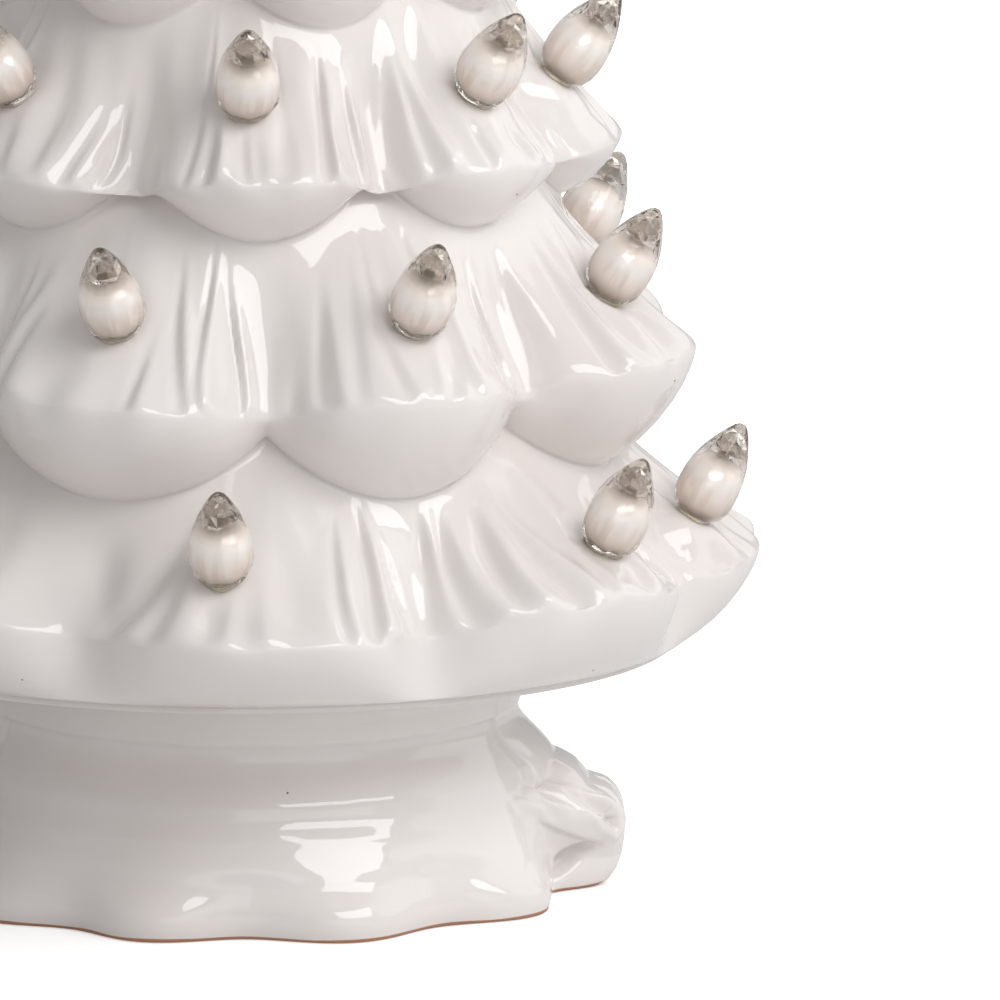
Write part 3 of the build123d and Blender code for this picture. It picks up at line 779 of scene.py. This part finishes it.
baseForm = {
    "columns": 640, "crowd": 0.62, "skirtRows": 84, "skirtGap": 0.0002, "footRadius": 0.0738, "waist": 0.059,
    "wave": 0.0034, "waves": 10, "waveTurn": 1.0, "waveWander": (3, 7, 13), "waveWanderShare": 0.35,
    "slopes": (  # height, how fast the skirt widens there, from the waist down to the foot
        (0.0400, 0.0), (0.0386, 0.2), (0.0362, 0.45), (0.0350, 0.55), (0.0320, 0.57), (0.0295, 0.52),
        (0.0280, 0.26), (0.0262, 0.24), (0.0248, 0.45), (0.0235, 0.57), (0.0214, 0.55), (0.0206, 0.25),
        (0.0199, 0.5), (0.0180, 0.57), (0.0160, 0.52), (0.0145, 0.27), (0.0125, 0.25), (0.0112, 0.5),
        (0.0095, 0.58), (0.0078, 0.52), (0.0062, 0.3), (0.0038, 0.05), (0.0022, -0.22), (0.0010, -0.35),
        (0.0, -0.35)),
    "waveShares": (  # height, share of the foot's wave
        (0.0, 1.0), (0.0055, 0.9), (0.0105, 0.5), (0.0165, 0.2), (0.0225, 0.06), (0.0285, 0.0)),
    "ribbonTurns": (0, 180), "ribbonEdges": (0.0011, 0.0022), "ribbonMiddles": (0.0011, 0.0048),
    "ribbonSwell": (0.0405, 0.029), "ribbonEnd": (0.0238, 0.0268), "ribbonRound": 0.9,
    "ribbonReaches": (  # height, degrees from the ribbon's middle
        (0.0235, 17.5), (0.026, 18.7), (0.0298, 19.1), (0.0349, 22.9), (0.0402, 24.4), (0.045, 26)),
    "collar": 0.001, "collarLow": 0.0412, "collarBead": ((0.0005, 0.0), (0.0012, 0.0002)),
    "collarRibbon": 0.4, "flange": 0.096, "flangeLow": 0.056, "flareStart": 0.12, "flareRows": 12,
    "deckSteps": (  # height, radius, from the flange's edge over the ring and the deck, then down the hollow
        (0.0576, 0.096), (0.058, 0.0955), (0.058, 0.0882), (0.0585, 0.0876), (0.0624, 0.0875),
        (0.063, 0.0869), (0.063, 0.0841), (0.0624, 0.0835), (0.0582, 0.0834), (0.058, 0.0828),
        (0.058, 0.0326), (0.0576, 0.032), (0.053, 0.032), (0.053, 0.052), (0.039, 0.052),
        (0.006, 0.062), (0.006, 0.066), (0.0, 0.066)),
    "smoothAngle": 78,
}
bowForm = {
    "reaches": (  # height, how far the bow and the foot under it reach out at the side
        (0.0, 0.0787), (0.0011, 0.0808), (0.0039, 0.0826), (0.0073, 0.0837), (0.0100, 0.0841),
        (0.0137, 0.0844), (0.0167, 0.0839), (0.0190, 0.0828), (0.0208, 0.0812), (0.0219, 0.0795),
        (0.0224, 0.0773), (0.0231, 0.0762), (0.0245, 0.0752), (0.0265, 0.0734), (0.0279, 0.0711),
        (0.0286, 0.0698), (0.0292, 0.0675), (0.0300, 0.058)),
    "flanks": (  # height, degrees from the side where the bow starts and where it is full
        (0.0, 14, 4), (0.007, 14, 4), (0.012, 18, 6), (0.018, 21, 8), (0.023, 18, 7), (0.03, 15, 6)),
    "degree": 0.00135,  # metres to a degree along the bow
    "mouth": (
        (13.8, 0.0218), (12.6, 0.0189), (11.2, 0.0156), (8.3, 0.0124), (7.5, 0.0159), (7.7, 0.0189),
        (10.4, 0.0220), (12.5, 0.0225)),
    "mouthDepth": 0.0034, "mouthLip": 0.0012, "mouthRim": 0.0004, "mouthRimWide": 0.0006,
    "tailEdge": ((20, 0.0180), (13, 0.0128)), "tailThick": 0.0009, "tailStep": (-0.0003, 0.0004),
    "tailStart": (8, 12), "tailEnd": (20, 22), "tailTop": (0.019, 0.023),
    "knot": (18, 0.0222), "knotHigh": 0.0014, "knotSize": (4.5, 0.0035),
    "pleats": (((25, 0.0228), (19, 0.0192)), ((20.7, 0.0237), (15.5, 0.0191)),
               ((18, 0.0247), (12, 0.0206)), ((15, 0.0253), (11.5, 0.0226))),
    "pleatWide": 0.00105, "pleatHigh": 0.0016,
    "wrapTurn": 4.3, "wrapWide": 0.8, "wrapDeep": 0.0021, "wrapLow": (0.0105, 0.0125),
    "wrapTop": (0.0205, 0.0225), "splitWide": 1.1, "splitDeep": 0.0021, "splitTop": (0.0075, 0.0105),
    "notch": ((17, 0.0), (11.5, 0.0085)), "notchWide": 0.0019, "notchDeep": 0.0036,
    "top": 0.031, "footHeight": 0.0062, "footWall": 0.0665, "skirtWall": 0.0605, "floorEdge": 0.0005,
    "floorShare": 0.6, "easeHeights": (0.0175, 0.0295), "easeTurns": (9, 28),
    "easeShare": 0.5, "easeRounds": 6,
}


def readTable(table, level):
    columns = np.array(table)
    return [np.interp(level, columns[:, 0], columns[:, place]) for place in range(1, columns.shape[1])]


def skirtRadii(levels):  # slopes summed from the waist down
    slopes, = readTable(baseForm["slopes"][::-1], levels)
    steps = (slopes[:-1] + slopes[1:])[::-1] / 2 * np.diff(levels)[::-1]
    widths = np.concatenate([np.cumsum(steps)[::-1], [0]])
    return baseForm["waist"] + widths * (baseForm["footRadius"] - baseForm["waist"]) / widths.max()


def fromSide(angles, turn):  # degrees away from the middle of a ribbon
    return np.degrees(np.abs((angles - math.radians(turn) + np.pi) % (2 * np.pi) - np.pi))


def ribbonLift(angles, level):  # the ribbon that runs down each side to its bow, fuller towards its end
    reach, = readTable(baseForm["ribbonReaches"], level)
    along = smoothStep(*baseForm["ribbonSwell"], level)
    edge, middle = (first + (last - first) * along
                    for first, last in (baseForm["ribbonEdges"], baseForm["ribbonMiddles"]))
    lift = np.zeros_like(angles)
    for turn in baseForm["ribbonTurns"]:
        away = fromSide(angles, turn)
        inside = 1 - smoothStep(reach - baseForm["ribbonRound"], reach, away)
        lift += inside * (edge + (middle - edge) * np.clip(1 - (away / reach) ** 2, 0, 1))
    return lift * smoothStep(*baseForm["ribbonEnd"], level)


def bowLift(angles, level, plain):
    reach, = readTable(bowForm["reaches"], level)
    start, full = readTable(bowForm["flanks"], level)
    lift = np.zeros_like(angles)
    for turn in baseForm["ribbonTurns"]:
        lift += np.maximum(reach - plain, 0) * (1 - smoothStep(full, start, fromSide(angles, turn)))
    return lift


def insideMouth(across, levels):  # how deep inside the loop's mouth, below 0 outside it
    corners = [(turn * bowForm["degree"], height) for turn, height in bowForm["mouth"]]
    depth = np.ones_like(across)
    for (startX, startZ), (endX, endZ) in zip(corners, corners[1:] + corners[:1]):
        runX, runZ = endX - startX, endZ - startZ
        within = (runZ * (across - startX) - runX * (levels - startZ)) / math.hypot(runX, runZ)
        depth = np.minimum(depth, within)
    return depth


def besideLine(across, levels, line):
    (startX, startZ), (endX, endZ) = ((turn * bowForm["degree"], height) for turn, height in line)
    runX, runZ = endX - startX, endZ - startZ
    share = np.clip(((across - startX) * runX + (levels - startZ) * runZ) / (runX ** 2 + runZ ** 2), 0, 1)
    return np.hypot(across - startX - share * runX, levels - startZ - share * runZ)


def tailLift(away, levels):  # the tail lies over the foot, with a slanting edge
    (startTurn, startZ), (endTurn, endZ) = bowForm["tailEdge"]
    edge = startZ + (endZ - startZ) * (away - startTurn) / (endTurn - startTurn)
    window = smoothStep(*bowForm["tailStart"], away) * (1 - smoothStep(*bowForm["tailEnd"], away))
    window *= 1 - smoothStep(*bowForm["tailTop"], levels)
    return bowForm["tailThick"] * smoothStep(*bowForm["tailStep"], levels - edge) * window


def knotLift(away, levels):  # the knot at the loop's foot, with pleats that run out of it
    (knotTurn, knotZ), (wide, high) = bowForm["knot"], bowForm["knotSize"]
    lift = bowForm["knotHigh"] * np.exp(-((away - knotTurn) / wide) ** 2 - ((levels - knotZ) / high) ** 2)
    for pleat in bowForm["pleats"]:
        beside = besideLine(away * bowForm["degree"], levels, pleat) / bowForm["pleatWide"]
        lift += bowForm["pleatHigh"] * np.exp(-beside ** 2)
    return lift


def bowDetail(away, levels):
    across = away * bowForm["degree"]
    inside = insideMouth(across, levels)
    rimWide = bowForm["mouthRimWide"]
    lift = bowForm["mouthRim"] * np.exp(-((inside + rimWide) / rimWide) ** 2)
    lift -= bowForm["mouthDepth"] * smoothStep(0.0, bowForm["mouthLip"], inside)
    lift += tailLift(away, levels) + knotLift(away, levels)
    height = smoothStep(*bowForm["wrapLow"], levels) * (1 - smoothStep(*bowForm["wrapTop"], levels))
    wrap = np.exp(-((away - bowForm["wrapTurn"]) / bowForm["wrapWide"]) ** 2)
    lift -= bowForm["wrapDeep"] * wrap * height  # grooves beside the wrap over the bow's middle
    split = np.exp(-(away / bowForm["splitWide"]) ** 2)  # between the two tails
    lift -= bowForm["splitDeep"] * split * (1 - smoothStep(*bowForm["splitTop"], levels))
    notch = besideLine(across, levels, bowForm["notch"]) / bowForm["notchWide"]
    return lift - bowForm["notchDeep"] * np.exp(-notch ** 2)


def baseRows():
    even = 2 * np.pi * np.arange(baseForm["columns"]) / baseForm["columns"]
    angles = even - baseForm["crowd"] / 2 * np.sin(2 * even)  # closer together at the bows
    flat = np.ones_like(angles)
    crest = np.cos(baseForm["waves"] * (angles - math.radians(baseForm["waveTurn"])))
    crest = crest + baseForm["waveWanderShare"] * slowWave(angles, 4, baseForm["waveWander"], 1.0)
    low = baseForm["collarLow"]
    levels = np.linspace(0, low - baseForm["skirtGap"], baseForm["skirtRows"])
    rows = []
    for level, radius in zip(levels, skirtRadii(levels)):
        share, = readTable(baseForm["waveShares"], level)
        plain = radius + baseForm["wave"] * share * crest
        lift = np.maximum(ribbonLift(angles, level), bowLift(angles, level, plain))
        rows.append((plain + lift, flat * level))
    waist, flange = baseForm["waist"], baseForm["flange"]
    collar = waist + baseForm["collar"]
    for rise, out in baseForm["collarBead"]:
        rows.append((collar + out + ribbonLift(angles, low) * baseForm["collarRibbon"], flat * (low + rise)))
    start = low + baseForm["collarBead"][-1][0]
    for share in np.linspace(baseForm["flareStart"], 1, baseForm["flareRows"]):  # up to the thin flange
        radius = collar * (1 - share) ** 2 + 2 * waist * share * (1 - share) + flange * share ** 2
        climb = (baseForm["flangeLow"] - start) * (1 - (1 - share) ** 2)
        rows.append((flat * radius, flat * (start + climb)))
    rows += [(flat * radius, flat * level) for level, radius in baseForm["deckSteps"]]
    return angles, np.array([row[0] for row in rows]), np.array([row[1] for row in rows])


def outerSkirt(points):  # the outside of the skirt up to the bow's top, without the inner wall
    wall = np.where(points[:, 2] < bowForm["footHeight"], bowForm["footWall"], bowForm["skirtWall"])
    return (points[:, 2] < bowForm["top"]) & (np.hypot(points[:, 0], points[:, 1]) > wall)


def pushBows(piece):  # the bows' details stand out along the skirt's own normals
    points = readPoints(piece)
    outward = np.zeros(points.size)
    piece.data.vertices.foreach_get("normal", outward)
    outward = outward.reshape(-1, 3)
    turned, outer = turnOf(points), outerSkirt(points)
    for turn in baseForm["ribbonTurns"]:
        lift = bowDetail(fromSide(turned, turn), points[:, 2]) * outer
        lift *= 1 - bowForm["floorShare"] * (points[:, 2] < bowForm["floorEdge"])  # keeps to the floor
        points += outward * lift[:, None]
    points[:, 2] = np.maximum(points[:, 2], 0)
    writePoints(piece, points)
    return points, outer


def easeKnots(piece, points, outer):  # smooths the clay where pleats, knot and ribbon's end meet
    turned = turnOf(points)
    away = np.minimum(*(fromSide(turned, turn) for turn in baseForm["ribbonTurns"]))
    (low, high), (near, far) = bowForm["easeHeights"], bowForm["easeTurns"]
    chosen = outer & (points[:, 2] > low) & (points[:, 2] < high) & (away < far) & (away > near)
    selectOnly(piece)
    bpy.ops.object.mode_set(mode="EDIT")
    bpy.ops.mesh.select_mode(type="VERT")
    bpy.ops.mesh.select_all(action="DESELECT")
    bpy.ops.object.mode_set(mode="OBJECT")
    piece.data.vertices.foreach_set("select", chosen)
    bpy.ops.object.mode_set(mode="EDIT")
    bpy.ops.mesh.vertices_smooth(factor=bowForm["easeShare"], repeat=bowForm["easeRounds"])
    bpy.ops.object.mode_set(mode="OBJECT")


def buildBase():
    piece, points = ringSheet("glazedBase", *baseRows())
    writePoints(piece, points)
    closeSeams(piece)
    easeKnots(piece, *pushBows(piece))
    bpy.ops.object.shade_smooth_by_angle(angle=math.radians(baseForm["smoothAngle"]))
    dress(piece, glaze)
    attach(piece, "base")
    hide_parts("base_skirt")
    return piece


glazedBase = buildBase()
print("base shaped:", len(glazedBase.data.polygons))


# floor, light and camera

stageSettings = {
    "floorSize": 6.0, "floorDrop": -0.0002, "floorColour": 0.86, "floorRoughness": 0.7,
    "floorLift": (0.42, 1.1), "liftReach": (0.16, 0.6), "worldLevel": 0.42,
}


def buildFloor():
    clearSelection()
    bpy.ops.mesh.primitive_plane_add(
        size=stageSettings["floorSize"], location=(0, 0, stageSettings["floorDrop"]))
    floor = newPiece("studioFloor")
    material, tree, shader, place = newMaterial("whiteFloor")
    shader.inputs["Base Color"].default_value = (*[stageSettings["floorColour"]] * 3, 1)
    setSockets(shader, roughness=stageSettings["floorRoughness"], specular=0.0)
    away = addNode(tree, "ShaderNodeVectorMath", operation="LENGTH")
    tree.links.new(place, away.inputs[0])
    lift = mapRange(tree, away.outputs["Value"], stageSettings["liftReach"], stageSettings["floorLift"])
    # whiter away from the tree's own shadow, to the camera alone
    path = tree.nodes.new("ShaderNodeLightPath")
    seen = calculate(tree, "MULTIPLY", path.outputs["Is Camera Ray"], lift)
    shader.inputs["Emission Color"].default_value = (1, 1, 1, 1)
    tree.links.new(seen, shader.inputs["Emission Strength"])
    dress(floor, material)


def buildWorld():
    world = bpy.data.worlds.new("studioWorld")
    bpy.context.scene.world = world
    world.use_nodes = True
    tree = world.node_tree
    shade = tree.nodes["Background"]
    path = tree.nodes.new("ShaderNodeLightPath")
    seen = calculate(tree, "MAXIMUM", path.outputs["Is Camera Ray"], path.outputs["Is Transmission Ray"])
    tree.links.new(mapRange(tree, seen, (0, 1), (stageSettings["worldLevel"], 1)), shade.inputs["Strength"])
    shade.inputs["Color"].default_value = (1, 1, 1, 1)


lightSettings = {
    "aim": (0, 0, 0.1),
    "lamps": (  # name, bearing from the front to the right, height angle, distance, width, height, watts
        ("keyBox", 39, 38, 1.25, 1.05, 0.52, 7.6), ("sideBox", 100, 25, 1.5, 1.3, 1.3, 4.5),
        ("lowCard", 22, 8, 1.5, 1.6, 0.5, 2.3), ("backCard", 155, 35, 1.6, 1.5, 1.2, 4.0)),
}


def placeFacing(thing, aim, bearing, rise, distance):  # set off from the aim, and turned to look at it
    bearing, rise = math.radians(bearing), math.radians(rise)
    flat = math.cos(rise)
    thing.location = aim + distance * Vector((
        flat * math.sin(bearing), -flat * math.cos(bearing), math.sin(rise)))
    thing.rotation_euler = (aim - thing.location).to_track_quat("-Z", "Y").to_euler()


def buildLights():
    for name, bearing, rise, distance, width, height, power in lightSettings["lamps"]:
        light = bpy.data.lights.new(name, "AREA")
        light.shape = "RECTANGLE"
        light.size = width
        light.size_y = height
        light.energy = power
        lamp = bpy.data.objects.new(name, light)
        bpy.context.scene.collection.objects.link(lamp)
        placeFacing(lamp, Vector(lightSettings["aim"]), bearing, rise, distance)


cameraSettings = {
    "aim": (0.056, 0, 0.0867), "rise": 10.0, "distance": 3.5, "span": 0.225, "sensor": 36, "farClip": 20,
}


def buildCamera():
    lens = bpy.data.cameras.new("photoCamera")
    lens.sensor_width = cameraSettings["sensor"]
    lens.lens = cameraSettings["sensor"] * cameraSettings["distance"] / cameraSettings["span"]
    lens.clip_end = cameraSettings["farClip"]
    camera = bpy.data.objects.new("photoCamera", lens)
    bpy.context.scene.collection.objects.link(camera)
    placeFacing(camera, Vector(cameraSettings["aim"]), 0, cameraSettings["rise"], cameraSettings["distance"])
    bpy.context.scene.camera = camera


buildFloor()
buildWorld()
buildLights()
buildCamera()
print("stage lit")
